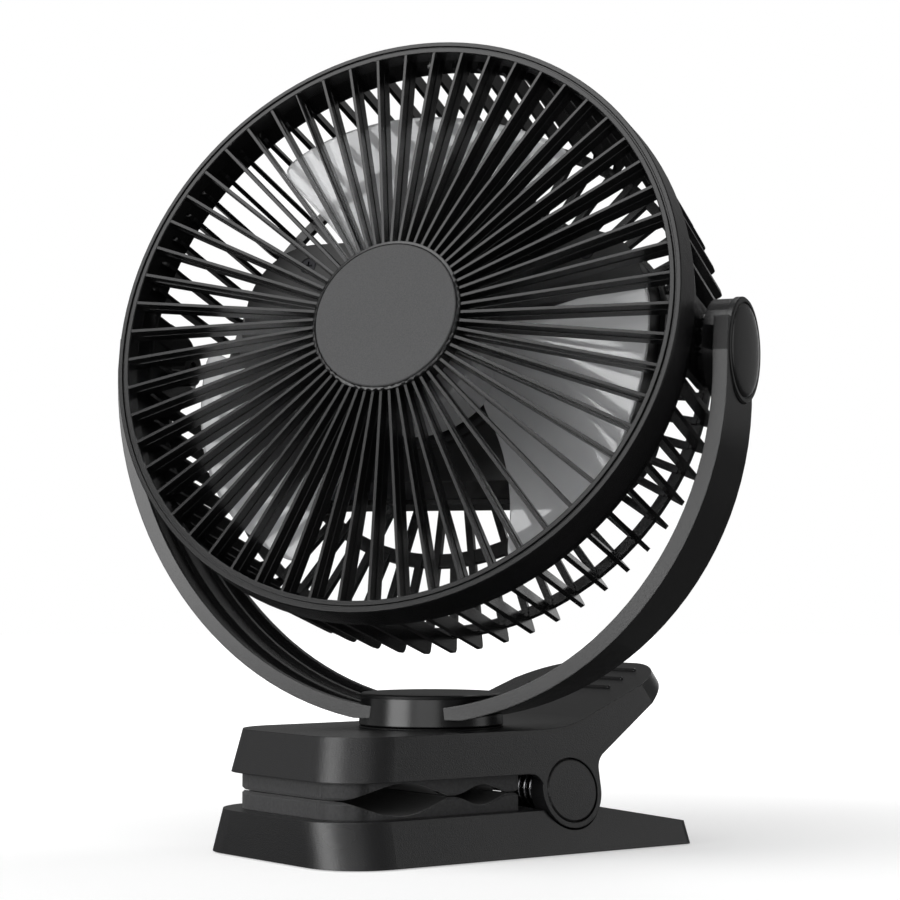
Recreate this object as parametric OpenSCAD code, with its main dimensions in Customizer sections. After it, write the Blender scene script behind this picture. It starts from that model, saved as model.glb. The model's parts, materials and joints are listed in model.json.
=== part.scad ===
// Clip-on camping fan.
// Millimetres, +Z up. The origin is on the swivel axis at the floor.
// The clip's jaws open towards -X and its lever points to +X.

/* [Fan head] */
// Outer radius of the front ring
ring_r = 100.3; // [97:0.1:102]
// Width of the ring's front face
ring_face_w = 4; // [3.6:0.1:5]
// Depth of the ring's outer band, front to back
band_depth = 12.4; // [11:0.2:13.4]
// Tilt axis to the ring's front face
head_front = 36; // [35:0.2:38]
// Tilt axis to the rear grille's back face
head_back = 26.4; // [25:0.1:27.5]
// Height of the ring's centre over the tilt axis
ring_rise = 1.6; // [0:0.1:2]
// Upward tilt of the head at rest
tilt_rest = 16.8; // [5:0.2:30]
// Turn of the yoke at rest, towards the clip's near side
swivel_rest = 29.8; // [0:0.2:45]

/* [Front grille] */
// Number of radial ribs
front_ribs = 58; // [40:2:64]
// Angle of the first rib from the top
rib_phase = 3.7; // [0:0.1:6]
// Thickness of a rib's front half
rib_t = 1.0; // [0.8:0.1:1.2]
// Thickness of a rib's back half
rib_back_t = 1.5; // [1.3:0.1:1.8]
// Front-to-back depth of a rib
rib_depth = 8; // [6:0.5:9]
// Rise of the rib fronts from the ring to the centre
rib_rise = 1.6; // [0:0.1:2]
// Radius of the centre badge
badge_r = 25; // [22:0.5:27]
// Thickness of the centre badge
badge_t = 2; // [1.6:0.2:2.6]

/* [Rear grille] */
// Number of fins round the side
fins = 64; // [48:4:72]
// Angle of the first fin from the top
fin_phase = 0.5; // [0:0.1:1]
// Thickness of a fin
fin_t = 1.5; // [1.2:0.1:1.8]
// Radial depth of a fin
fin_w = 4.6; // [4:0.2:5.4]
// Outer radius at the fins' rear tips
fin_tip_r = 97.7; // [94:0.1:98.4]
// Rounding of a fin's rear tip
fin_tip_round = 2.2; // [1.6:0.1:3]
// Width of a rib on the back face
back_rib_w = 2.4; // [2:0.1:3]
// Depth of the ribs and rings on the back face
back_rib_t = 2.4; // [2:0.1:3]
// Mean radius of the back face's outer ring
outer_ring_r = 90.4; // [88:0.2:91]
// Width of the back face's outer ring
outer_ring_w = 3.6; // [3:0.2:4.4]
// Mean radius of the back face's middle ring
mid_ring_r = 65; // [62:0.5:68]
// Width of the back face's middle ring
mid_ring_w = 4.6; // [3.6:0.2:5.2]

/* [Battery case] */
// Width of the case, along the tilt axis
case_w = 148; // [142:1:152]
// Height of the case
case_h = 89; // [85:0.5:94]
// Depth of the case in front of its cover
case_d = 24; // [23:0.5:25]
// Corner radius of the case
case_corner = 24; // [20:0.5:27]
// Wall of the case
case_wall = 2; // [1.6:0.1:2.6]
// Thickness of the rear cover
cover_t = 2.6; // [2:0.1:3.4]
// Radius of one round battery cell
cell_r = 9.1; // [9:0.1:9.3]

/* [Impeller] */
// Radius of the blade tips
blade_r = 85; // [80:0.5:88]
// Number of blades
blades = 3; // [3:1:5]
// Angle that one blade covers at its tip
blade_sweep = 74; // [56:1:80]
// Front-to-back reach of a blade
blade_reach = 18; // [14:0.5:19]
// Thickness of a blade
blade_t = 1.6; // [1.3:0.1:2]
// Outer radius of the clear hub
hub_r = 30; // [28:0.5:32]
// Depth of the clear hub
hub_d = 19; // [17:0.5:20]

/* [Motor] */
// Radius of the motor shaft
shaft_r = 1.5; // [1.3:0.1:1.9]
// Outer radius of the rotor cup
rotor_r = 17; // [16:0.2:18]
// Depth of the rotor cup
rotor_d = 15; // [13:0.5:16]
// Running gap between the magnet ring and the stator
air_gap = 0.5; // [0.4:0.1:0.8]

/* [Yoke] */
// Outer radius of the yoke's arch
yoke_r = 110.9; // [110:0.1:114]
// Width of the yoke's arms, front to back
yoke_w = 37.4; // [34:0.2:40]
// Shift of the arms' middle in front of the swivel axis
yoke_forward = 1.3; // [0:0.1:2]
// Radial depth of the arms' front and back flanges
flange_h = 5; // [4:0.2:5.4]
// Thickness of the flanges
flange_t = 2.2; // [1.8:0.1:2.8]
// Wall of the arms between the flanges
yoke_wall = 2.2; // [1.8:0.1:2.8]
// Height of the tilt axis over the floor
tilt_z = 164.2; // [163.4:0.1:169]
// Radius of the boss at each arm's tip
tip_r = 16.8; // [16:0.2:18]
// Radius of the round knob caps
knob_r = 17.3; // [16.4:0.1:18]
// Radius of the domed face of a knob cap
knob_face_r = 15.2; // [14:0.2:15.6]
// Radius of the pivot boss on the head
pivot_boss_r = 12.6; // [11:0.2:13]

/* [Swivel] */
// Radius of the turntable's body
puck_r = 23; // [21:0.5:24]
// Height of the turntable's body
puck_h = 6.6; // [6:0.1:8]
// Thickness of the turntable's cap
puck_cap_t = 1.4; // [1.2:0.1:2]
// Height of the seat ring under the turntable
seat_h = 3; // [2.4:0.2:3.6]
// Radius of the swivel spigot
spigot_r = 8; // [7:0.5:9]

/* [Clip] */
// Reach of the jaws in front of the swivel axis, at the floor
clip_front = 67; // [63:0.2:70]
// Reach of the tail behind the swivel axis
clip_back = 78.2; // [75:0.2:82]
// Width of the lower jaw at the floor
base_w = 91.5; // [88:0.5:96]
// Width that the lower jaw loses up to its top edge
base_narrow = 10.3; // [8:0.1:11]
// Height of the lower jaw
base_h = 14.7; // [14:0.1:15.6]
// Height of the open end's gap between the jaws
jaw_gap = 12; // [11:0.2:13]
// Depth of the upper jaw, bottom edge to top face
upper_h = 14.2; // [13:0.1:16]
// Width of the upper jaw's bottom edge less than the floor width
upper_narrow = 11.9; // [11:0.1:14]
// Width lost by the upper jaw for each millimetre of height
upper_draft = 0.36; // [0.2:0.02:0.4]
// Corner radius at the jaws' open end
jaw_corner = 20.5; // [17:0.5:24]
// Corner radius at the tail of the lower jaw
tail_corner = 4; // [3:0.5:8]
// Corner radius at the lever's end
lever_corner = 23; // [18:0.5:25]
// Wall of the jaws
jaw_wall = 2.6; // [2.2:0.1:3]
// Rise of the lever, in degrees
lever_rise = 21; // [19:0.2:22]
// Rise of the lever's underside, in degrees
under_rise = 33; // [31:0.2:34]
// Reach of the lever's top face behind the swivel axis
lever_reach = 80; // [78:0.5:83]
// Swivel axis to the clip's hinge pin
hinge_x = 28.1; // [27.7:0.1:30]
// Height of the hinge pin
hinge_z = 20.7; // [20.2:0.1:21.4]
// Radius of the round ears about the hinge pin
ear_r = 12.3; // [11.9:0.1:13]
// Radius of the hinge pin
pin_r = 2.5; // [2:0.1:3]
// Radius of the round caps over the hinge pin
pin_cap_r = 10.4; // [9:0.1:10.7]

/* [Grip pads] */
// Half length of the large eye for round poles
eye_half = 19.3; // [17:0.1:20]
// Half height of the large eye
eye_rise = 5.2; // [4.6:0.1:5.3]
// Half length of the small eye
small_eye_half = 12.9; // [12:0.1:13.4]
// Half height of the small eye
small_eye_rise = 3.3; // [2.8:0.1:3.6]
// Gap between the two pads at rest
pad_gap = 0.6; // [0.4:0.1:0.8]
// Inset of the pads from the jaws' edges
pad_inset = 4.0; // [3:0.2:5]

/* [Hidden] */

// Radial gap of a shaft that runs in a hole
running = 0.05;
// Gap between pieces that move past each other
part_gap = 0.3;
// Overlap that joins solids of one piece
bite = 0.2;
// Overshoot of a cut past the face it opens
cut = 1;
$fn = 96;

charcoal = [0.10, 0.10, 0.11];
graphite = [0.15, 0.15, 0.16];
rubber = [0.08, 0.08, 0.08];
steel = [0.62, 0.63, 0.65];

// Head heights, along the airflow, from the tilt axis
hoop_front = head_front - 5.9;
band_back = head_front - band_depth;
hoop_back = band_back - 6;
ring_inner_r = ring_r - ring_face_w;
band_t = 1.6;
hoop_t = 1.5;
hoop_r = ring_r - band_t + 0.6;
case_front = case_d + cover_t - head_back - 1;
cover_front = case_front - case_d;
back_face = -head_back;

// Impeller heights
hub_front = case_front + 4 + hub_d;
blade_front = hub_front - 1.5;
blade_back = blade_front - blade_reach;
motor_base = case_front + 2;

// Yoke heights and tilt pivot
seat_top = base_h + jaw_gap + upper_h + seat_h;
puck_bottom = seat_top + part_gap;
puck_top = puck_bottom + puck_h;
// The arch joins a tighter arc below to a wider arc on each side
low_r = yoke_r - 4.3;
side_r = yoke_r + 9.2;
arc_join = asin((side_r - yoke_r) / (side_r - low_r));
low_z = puck_bottom - 1.8 + low_r;
side_z = low_z + (side_r - low_r) * cos(arc_join);
tip_out = yoke_r - 1.9;
tip_in = tip_out - 7.3;
boss_out = tip_in - 0.8;

// Clip heights
upper_z = base_h + jaw_gap;
upper_top = upper_z + upper_h;
base_top_w = base_w - base_narrow;
upper_w = base_w - upper_narrow;
// The upper jaw's open end lies this far behind the lower jaw's
jaw_lead = 4;
pad_mid = base_h + jaw_gap / 2;
pad_front = -clip_front + jaw_lead + pad_inset - 0.8;
// Window between the pads and the ears, where the springs show
spring_window = 6.7;
pad_back = hinge_x - ear_r - spring_window;
// Ears of the upper jaw and hinge lugs of the lower jaw, from the middle
ear_in = upper_w / 2 - 5.3;
lug_out = ear_in - 15.5;
lug_in = lug_out - 5.5;
coil_r = 6.8;
wire_r = 1.2;
spring_turns = 5;
spring_pitch = (ear_in - lug_out - 2 * part_gap - 2 * wire_r) / (spring_turns - 1);

spigot_bottom = upper_top - jaw_wall - 0.3;

// Places the children in the yoke's frame: -X is forward, Y is the tilt axis
module in_yoke() rotate([0, 0, swivel_rest]) children();

// Places the children in the head's frame: +Z is the airflow, +X is up
module in_head() in_yoke() translate([-yoke_forward, 0, tilt_z]) rotate([0, tilt_rest - 90, 0]) children();

// Places the children about the ring's own centre, in the head's frame
module in_ring() in_head() translate([ring_rise, 0, 0]) children();

// Puts the children's Z axis along the tilt axis; side -1 is the near end
module at_pivot(side) rotate([-90 * side, 0, 0]) children();

// Rectangle centred on the origin with round corners
module round_rect(x, y, r) {
  square([x - 2 * r, y], center = true);
  square([x, y - 2 * r], center = true);
  for (i = [-1, 1], j = [-1, 1]) translate([i * (x / 2 - r), j * (y / 2 - r)]) circle(r);
}

// Tube standing on Z = z0
module tube(r_out, r_in, z0, h) translate([0, 0, z0]) linear_extrude(h) difference() {
  circle(r_out);
  circle(r_in);
}

// Plate in the plane through the Z axis at one angle: points are [radius, height]
module radial_plate(angle, t, points) rotate([0, 0, angle]) rotate([90, 0, 0])
  translate([0, 0, -t / 2]) linear_extrude(t) polygon(points);

// Side profile of the clip, points [x, z], swept across the width w
module across(w) translate([0, w / 2, 0]) rotate([90, 0, 0]) linear_extrude(w) children();

// Points of an arc, for polygons
function arc(cx, cy, r, from, to, n = 12) =
  [for (i = [0:n]) [cx + r * cos(from + (to - from) * i / n), cy + r * sin(from + (to - from) * i / n)]];

// ---------------------------------------------------------------- clip

// Drafted block with round corners: x from, x to and width at two heights
module drafted(z0, xa0, xb0, w0, z1, xa1, xb1, w1, ra, rb) hull() {
  for (side = [-1, 1]) {
    for (e = [[z0, xa0, xb0, w0], [z1, xa1, xb1, w1]]) {
      translate([e[1] + ra, side * (e[3] / 2 - ra), e[0]]) cylinder(r = ra, h = 0.01, $fn = 48);
      translate([e[2] - rb, side * (e[3] / 2 - rb), e[0]]) cylinder(r = rb, h = 0.01, $fn = 48);
    }
  }
}

skirt_z = 0.4;
module base_block(inset) drafted(
  0, -clip_front + inset, clip_back - inset, base_w - 2 * inset,
  base_h, -clip_front + 0.9 + inset, clip_back - 1 - inset, base_top_w - 2 * inset,
  jaw_corner - inset, tail_corner - inset);

// Side view of the lower jaw: level in front, falling to the tail
module base_profile(inset) polygon([
  [-clip_front - 5, inset == 0 ? skirt_z : -cut], [clip_back + 5, inset == 0 ? skirt_z : -cut],
  [clip_back + 5, tail_h - inset], [hinge_x + ear_r - 1, base_h - inset], [-clip_front - 5, base_h - inset]]);
// Height of the tail just behind its end
tail_h = 6.8;

module lower_jaw() color(charcoal) difference() {
  union() {
    difference() {
      intersection() { base_block(0); across(base_w) base_profile(0); }
      intersection() { base_block(jaw_wall); across(base_w) base_profile(jaw_wall); }
    }
    // Stiffening ribs under the top skin
    for (x = [-40, -20, 0]) translate([x, 0, (base_h + 3) / 2 + bite / 2])
      cube([2, base_top_w - 2 * jaw_wall, base_h - 3 - jaw_wall], center = true);
    // Lugs that carry the hinge pin
    for (side = [-1, 1]) translate([hinge_x, side * (lug_in + lug_out) / 2, 0]) {
      translate([0, 0, hinge_z]) rotate([90, 0, 0])
        cylinder(r = ear_r - 3.6, h = lug_out - lug_in, center = true);
      translate([-ear_r + 3.6, -(lug_out - lug_in) / 2, 3])
        cube([2 * (ear_r - 3.6), lug_out - lug_in, hinge_z - 3]);
    }
  }
  // Scoops that the upper jaw's ears turn in
  for (side = [-1, 1]) translate([hinge_x, side * (ear_in - part_gap + base_w / 2), hinge_z])
    rotate([90, 0, 0]) cylinder(r = ear_r + 2 * part_gap, h = base_w, center = true);
  // Wells for the springs' coils
  for (side = [-1, 1]) translate([hinge_x + 0.3, side * (lug_out + ear_in) / 2, base_h - 2 * jaw_wall + 5])
    cube([2 * coil_r + 5.4, ear_in - lug_out, 10], center = true);
  hinge_hole(0);
}

// Hole for the hinge pin, with a radial gap
module hinge_hole(gap) translate([hinge_x, 0, hinge_z]) rotate([90, 0, 0])
  cylinder(r = pin_r + gap, h = base_w + 10, center = true);

module foot_pad() color(rubber) difference() {
  intersection() {
    base_block(jaw_wall + part_gap);
    across(base_w) translate([-clip_front, 0]) square([clip_front + clip_back, 2.8]);
  }
  // Shallow channels between the rubber's treads
  for (x = [-55:10:65]) translate([x, 0, 0]) cube([2.4, base_w - 24, 1.6], center = true);
}

// Openings between the pads for round poles
module eye_openings() {
  small_x = pad_back - 1.5 - small_eye_half;
  translate([small_x, pad_mid]) eye(small_eye_half, small_eye_rise, 2);
  translate([small_x - small_eye_half - eye_half + 0.1, pad_mid]) eye(eye_half, eye_rise, 1.1);
}
// Opening of half length h and half height r; a higher power gives softer ends
module eye(h, r, power) polygon([for (side = [1, -1], i = [0:32]) let (t = side * (i / 16 - 1))
  [h * t, side * (0.05 + r * pow(abs(cos(90 * t)), power))]]);

// Plan of a pad, shrunk by an inset, from z0 up
module pad_plan(z0, h, inset = 0) translate([0, 0, z0]) linear_extrude(h) {
  length = pad_back - pad_front;
  intersection() {
    translate([pad_front + length / 2 + 20, 0])
      round_rect(length + 40 - 2 * inset, upper_w - 2 * pad_inset - 2 * inset, jaw_corner - 4 - inset);
    translate([pad_front - 1, -base_w / 2]) square([length + 1 - inset, base_w]);
  }
}

// Lip that runs round the pad: its middle line is `inset` inside the pad's edge
module pad_lip(inset, w, z0, h) difference() {
  pad_plan(z0, h, inset - w / 2);
  pad_plan(z0 - cut, h + 2 * cut, inset + w / 2);
}

// Pad with a soft edge where it meets the other pad; the middle plane is Z = 0
module pad_half() {
  soft = 0.7;
  hull() {
    pad_plan(pad_gap / 2, 0.01, soft);
    pad_plan(pad_gap / 2 + soft, 0.01);
  }
  pad_plan(pad_gap / 2 + soft, jaw_gap / 2 - pad_gap / 2 - soft);
}

module lower_grip() color(rubber) difference() {
  union() {
    translate([0, 0, pad_mid]) scale([1, 1, -1]) pad_half();
    pad_lip(lip_inset, lip_w, pad_mid - 1, 1 + lip_h);
  }
  across(base_w) eye_openings();
}

module upper_grip() color(rubber) difference() {
  translate([0, 0, pad_mid]) pad_half();
  pad_lip(lip_inset, lip_w + 1.4, pad_mid - 1, 1 + lip_h + 0.5);
  across(base_w) eye_openings();
}
// Lip of the lower pad, which runs in a groove of the upper pad
lip_inset = 3;
lip_w = 1.6;
lip_h = 1.2;

module hinge_pin() color(steel) translate([hinge_x, 0, hinge_z]) rotate([90, 0, 0])
  cylinder(r = pin_r, h = 2 * (upper_half(hinge_z) - 3.4), center = true);

// Half width of the upper jaw's flank at height z
function upper_half(z) = (upper_w - upper_draft * (z - upper_z)) / 2;
// Reach of the upper jaw's open end at height z
function upper_front(z) = -clip_front + jaw_lead + 0.2 * (z - upper_z);

// One torsion spring between a lug and an ear; side -1 is the near one
module clip_spring(side) color(steel)
  translate([hinge_x, side * (lug_out + ear_in) / 2, hinge_z]) scale([1, side, 1]) {
    reach = (spring_turns - 1) / 2 * spring_pitch;
    for (i = [0:spring_turns - 1]) translate([0, i * spring_pitch - reach, 0]) rotate([90, 0, 0])
      rotate_extrude($fn = 64) translate([coil_r, 0]) circle(wire_r, $fn = 24);
    // Straight lead that joins the turns
    translate([-coil_r, 0, 0]) rotate([90, 0, 0])
      cylinder(r = wire_r / 2, h = 2 * reach, center = true, $fn = 24);
    // Short leg under the lever and long leg inside the tail
    translate([0, reach, 0]) rotate([0, -24, 0]) spring_leg(coil_r, coil_r);
    translate([0, -reach, 0]) rotate([0, 24, 0]) spring_leg(-coil_r, 2.6 * coil_r);
  }
module spring_leg(z, length) translate([0, 0, z]) rotate([0, 90, 0])
  cylinder(r = 0.9 * wire_r, h = length, $fn = 24);
module clip_spring_left() clip_spring(1);
module clip_spring_right() clip_spring(-1);

// The top face starts to rise at lever_start and is straight behind lever_foot
lever_start = 20;
lever_foot = lever_start + 8.6;
// Length of the lever's straight top face
lever_len = (lever_reach - lever_foot) / cos(lever_rise);
// Height of the lever's top face at x
function lever_top(x) = upper_top + (x - lever_foot) * tan(lever_rise);

// The fillet between the ear and the lever's underside
heel_r = 6;
heel = [hinge_x + ear_r, upper_z + 0.3];
// Height of the lever's underside at x
function lever_low(x) = heel[1] + heel_r * cos(under_rise)
  + (x - heel[0] - heel_r + heel_r * sin(under_rise)) * tan(under_rise);

// Outline of the upper jaw seen from the side
module upper_profile() {
  bend = 48;
  beyond = lever_reach + 12;
  union() {
    polygon(concat(
      [[-clip_front - 5, upper_z], [hinge_x, upper_z], [hinge_x, hinge_z], [heel[0], hinge_z]],
      arc(heel[0] + heel_r, heel[1], heel_r, 180, 90 + under_rise, 8),
      [[beyond, lever_low(beyond)], [beyond, lever_top(beyond) + 5], [lever_reach, lever_top(lever_reach)]],
      arc(lever_start, upper_top + bend, bend, -90 + lever_rise, -90, 8),
      [[-clip_front - 5, upper_top]]));
    translate([hinge_x, hinge_z]) circle(ear_r);
    // Fillet between the jaw's underside and the ear
    difference() {
      translate([hinge_x - ear_r - 4.5, upper_z - 5]) square([8, 6]);
      translate([hinge_x - ear_r - 4.5, upper_z - 5]) circle(5);
    }
  }
}

// Room inside the upper jaw, open below
module upper_room() {
  front = heel[0] - jaw_wall;
  back = lever_reach - 10;
  skin = 1.2 * jaw_wall;
  polygon([
    [-clip_front - 5, -cut], [heel[0] + 0.5, -cut], [heel[0] + 0.5, hinge_z + 1],
    [front, lever_low(front) + skin], [back, lever_low(back) + skin], [back, lever_top(back) - jaw_wall],
    [lever_foot + 0.4, upper_top - jaw_wall], [-clip_front - 5, upper_top - jaw_wall]]);
}

// Drafted sides of the upper jaw
module upper_block(inset) {
  low = 8;
  high = 66;
  beyond = lever_reach + 12;
  drafted(
    low, upper_front(low) + inset, beyond, 2 * upper_half(low) - 2 * inset,
    high, upper_front(high) + inset, beyond, 2 * upper_half(high) - 2 * inset,
    jaw_corner - 1 - inset, 1);
}

// Rounded end of the lever, square to its top face and drafted like the sides
module lever_end(inset) translate([lever_foot, 0, upper_top]) rotate([0, -lever_rise, 0]) hull()
  for (h = [-60, 60], side = [-1, 1]) {
    from_top = upper_draft / 2 * h;
    half = upper_half(upper_top + (lever_len - lever_corner) * sin(lever_rise) + h * cos(lever_rise));
    translate([lever_len - from_top - lever_corner, side * (half - lever_corner), h])
      cylinder(r = lever_corner - inset, h = 0.01);
    translate([-2 * clip_front, side * base_w, h]) cylinder(r = 1, h = 0.01, $fn = 12);
  }

module upper_jaw() color(charcoal) difference() {
  union() {
    difference() {
      intersection() { upper_block(0); lever_end(0); across(base_w) upper_profile(); }
      intersection() { upper_block(jaw_wall); lever_end(jaw_wall); across(base_w) upper_room(); }
    }
    // Round ears
    for (side = [-1, 1]) intersection() {
      translate([hinge_x, side * (ear_in + 16), hinge_z]) rotate([90, 0, 0])
        cylinder(r = ear_r, h = 32, center = true);
      upper_block(0);
    }
    // Boss that the turntable's spigot runs in
    tube(spigot_r + 3, spigot_r + running, upper_top - 5, 5);
    // Ribs under the jaw's top
    for (x = [-34, 17]) translate([x, 0, upper_top - 3.4]) cube([2, upper_w - 12, 4], center = true);
    // Raised grip bars on the lever
    for (i = [0:2]) let (x = lever_reach - 5.9 - 7 * i)
      translate([x, 0, lever_top(x)]) rotate([0, -lever_rise, 0]) grip_bar(19 + 1.3 * i);
  }
  hinge_hole(running);
  translate([0, 0, upper_top - 20]) cylinder(r = spigot_r + running, h = 40);
  // Level bed of the seat ring
  translate([0, 0, upper_top]) cylinder(r = puck_r + 1.5, h = 10);
  for (side = [-1, 1]) pin_cap_seat(side) cylinder(r = pin_cap_r + 0.35, h = 10);
}

// Rounded bar across the lever
module grip_bar(half) {
  bar_r = 0.8;
  rotate([90, 0, 0]) cylinder(r = bar_r, h = 2 * half, center = true, $fn = 32);
  for (side = [-1, 1]) translate([0, side * half, 0]) sphere(bar_r, $fn = 32);
}

// Seat of a hinge cap, flush with the drafted flank of the ear
flank_angle = atan(upper_draft / 2);
module pin_cap_seat(side) translate([hinge_x, side * upper_half(hinge_z), hinge_z])
  rotate([-side * (90 - flank_angle), 0, 0]) translate([0, 0, -1.8]) children();

module pin_cap(side) color(graphite) pin_cap_seat(side)
  rotate_extrude() polygon([[0, 0], [pin_cap_r, 0], [pin_cap_r, 1.3], [pin_cap_r - 0.5, 1.8], [0, 1.8]]);
module pin_cap_left() pin_cap(1);
module pin_cap_right() pin_cap(-1);

module jaw_plate() color(charcoal) difference() {
  intersection() {
    upper_block(jaw_wall + 0.1);
    across(base_w) translate([-clip_front - 5, upper_z]) square([clip_front + 5 + pad_back, jaw_wall]);
  }
  translate([0, 0, upper_z - cut]) cylinder(r = 3, h = 10);
}

module swivel_seat() color(graphite) translate([0, 0, upper_top]) rotate_extrude() polygon([
  [spigot_r + running, 0], [puck_r + 1.4, 0], [puck_r + 1.4, seat_h - 0.6], [puck_r + 0.8, seat_h],
  [spigot_r + running, seat_h]]);

// ---------------------------------------------------------------- yoke

// Points [y, z] along the arch from tip to tip, d under its outer face
function arch(d) = concat(
  [[d - yoke_r, tilt_z + tip_r + cut]],
  arc(side_r - yoke_r, side_z, side_r - d, 180, 270 - arc_join, 16),
  arc(0, low_z, low_r - d, 273 - arc_join, 267 + arc_join, 28),
  arc(yoke_r - side_r, side_z, side_r - d, 270 + arc_join, 360, 16),
  [[yoke_r - d, tilt_z + tip_r + cut]]);

// Band swept along the arch: from a to b under its outer face, w wide
module arm_band(a, b, w) {
  inner = arch(b);
  rotate([90, 0, 90]) translate([0, 0, -w / 2]) linear_extrude(w)
    polygon(concat(arch(a), [for (i = [len(inner) - 1:-1:0]) inner[i]]));
}

// Side view of the arms: the back edge curves in towards the tip
back_bow = 478;
module arm_outline(inset) across(2 * yoke_r + 10) {
  front = -yoke_w / 2 - yoke_forward + inset;
  back = yoke_w / 2 - yoke_forward + 0.9 - inset;
  tilt = [-yoke_forward, tilt_z];
  polygon(concat([[front, tilt_z - 1], [front, puck_bottom], [back, puck_bottom]],
    arc(back - back_bow, puck_bottom + 6, back_bow, 0, 12),
    [[tilt[0] + 8, tilt_z], [tilt[0] + 8, tilt_z + 4], [front + 1.6, tilt_z + 10]]));
}

module yoke() color(charcoal) in_yoke() difference() {
  union() {
    intersection() { arm_band(0, flange_h, 60); arm_outline(0); }
    // Boss at each arm's tip
    for (side = [-1, 1]) pivot_place(side) translate([0, 0, tip_in])
      cylinder(r = tip_r, h = tip_out - tip_in);
    // Turntable body and its spigot
    translate([0, 0, puck_bottom]) cylinder(r = puck_r, h = puck_h);
    translate([0, 0, spigot_bottom]) cylinder(r = spigot_r, h = puck_bottom - spigot_bottom + bite);
  }
  // Channel inside the arch, with two stiffening ridges
  difference() {
    intersection() { arm_band(yoke_wall, flange_h + cut, 60); arm_outline(flange_t); }
    for (f = [-0.14, 0.2]) translate([f * yoke_w, 0, 0]) arm_band(yoke_wall - bite, yoke_wall + 1.8, 1.6);
    for (side = [-1, 1]) pivot_place(side) cylinder(r = tip_r, h = yoke_r + 5);
    translate([0, 0, puck_bottom]) cylinder(r = puck_r, h = puck_h);
  }
  // Pocket under the turntable's cap
  difference() {
    translate([0, 0, puck_bottom + 3]) cylinder(r = puck_r - 2.6, h = puck_h);
    cylinder(r = 6, h = puck_top + cut);
  }
  // Screw hole in the spigot
  translate([0, 0, upper_top - 10]) cylinder(r = 2, h = 18);
  for (side = [-1, 1]) pivot_place(side) {
    translate([0, 0, tip_in - cut]) cylinder(r = bolt_r, h = 20);
    translate([0, 0, tip_out - 3]) cylinder(r = bolt_head_r, h = 10);
    // Seat of the knob cap
    translate([0, 0, tip_out]) cylinder(r = knob_r + 0.1, h = 10);
  }
}
// Puts the children's Z axis along the tilt axis, in the yoke's frame
module pivot_place(side) translate([-yoke_forward, 0, tilt_z]) at_pivot(side) children();

module turntable_cap() color(graphite) translate([0, 0, puck_top]) rotate_extrude() polygon([
  [0, 0], [puck_r + 0.7, 0], [puck_r + 0.7, puck_cap_t - 0.4], [puck_r + 0.3, puck_cap_t], [0, puck_cap_t]]);

washer_t = 1.5;
module swivel_washer() color(steel) tube(spigot_r + 4.5, 2, upper_top - jaw_wall - 2.7 - washer_t, washer_t);

module swivel_screw() color(steel) union() {
  head_z = upper_top - jaw_wall - 2.7 - washer_t;
  translate([0, 0, head_z - 2.4]) cylinder(r = 4, h = 2.4);
  translate([0, 0, head_z - bite]) cylinder(r = 2, h = 12);
}

module knob(side) color(graphite) in_yoke() pivot_place(side) translate([0, 0, tip_out])
  rotate_extrude() polygon(concat([[0, 0], [knob_r, 0], [knob_r, 1.7], [knob_r - 0.5, 2.2],
    [knob_face_r + 0.5, 2.2], [knob_face_r + 0.3, 1.7], [knob_face_r - 0.1, 1.7]],
    [for (i = [0:8]) let (a = 90 * i / 8) [(knob_face_r - 0.2) * cos(a), 2.2 + 1.2 * sin(a)]]));
module knob_left() knob(1);
module knob_right() knob(-1);

bolt_r = 2.5;
bolt_head_r = 5;
module tilt_bolt(side) color(steel) in_yoke() pivot_place(side) {
  translate([0, 0, boss_out - 8]) cylinder(r = bolt_r, h = tip_out - 3 - boss_out + 8 + bite);
  difference() {
    translate([0, 0, tip_out - 3]) cylinder(r = bolt_head_r, h = 2.6);
    translate([0, 0, tip_out - 2]) cylinder(r = 2.2, h = 4, $fn = 6);
  }
}
module tilt_bolt_left() tilt_bolt(1);
module tilt_bolt_right() tilt_bolt(-1);

module friction_washer(side) color(rubber) in_yoke() pivot_place(side)
  tube(pivot_boss_r - 1.6, bolt_r, boss_out + part_gap, tip_in - boss_out - part_gap);
module friction_washer_left() friction_washer(1);
module friction_washer_right() friction_washer(-1);

// ---------------------------------------------------------------- front grille

badge_z = head_front + rib_rise + 0.8 - badge_t;
module front_grille() color(charcoal) in_ring() union() {
  rotate_extrude($fn = 180) polygon([
    [ring_inner_r, hoop_front], [ring_inner_r, head_front - 0.3], [ring_inner_r + 0.3, head_front],
    [ring_inner_r + 1.6, head_front], [ring_inner_r + 1.8, head_front - 0.8],
    [ring_inner_r + 2.3, head_front - 0.8], [ring_inner_r + 2.5, head_front - 0.1],
    [ring_r - 0.3, head_front - 0.1], [ring_r, head_front - 0.4],
    [ring_r + 0.6, band_back], [ring_r - band_t + 0.65, band_back], [ring_r - band_t + 0.65, hoop_front]]);
  for (i = [0:front_ribs - 1]) rotate([0, 0, i * 360 / front_ribs + rib_phase]) front_rib();
  // Seat of the badge, with its raised rim
  rotate_extrude() polygon([
    [0, badge_z], [badge_r + 0.3, badge_z], [badge_r + 0.3, badge_z + badge_t - 0.3],
    [badge_r + 1.3, badge_z + badge_t - 0.5], [badge_r + 1.3, badge_z - 5], [badge_r - 1.2, badge_z - 5],
    [badge_r - 1.2, badge_z - 1.8], [0, badge_z - 1.8]]);
}

// One rib along X: thin at the front, thicker at the back
module front_rib() {
  from = badge_r;
  to = ring_inner_r + 0.6;
  in = head_front + rib_rise;
  out = head_front;
  for (part = [[rib_t, 0.2, rib_depth / 2 + 0.3], [rib_back_t, rib_depth / 2, rib_depth]])
    rotate([90, 0, 0]) translate([0, 0, -part[0] / 2]) linear_extrude(part[0])
      polygon([[from, in - part[1]], [to, out - part[1]], [to, out - part[2]], [from, in - part[2]]]);
}

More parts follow.
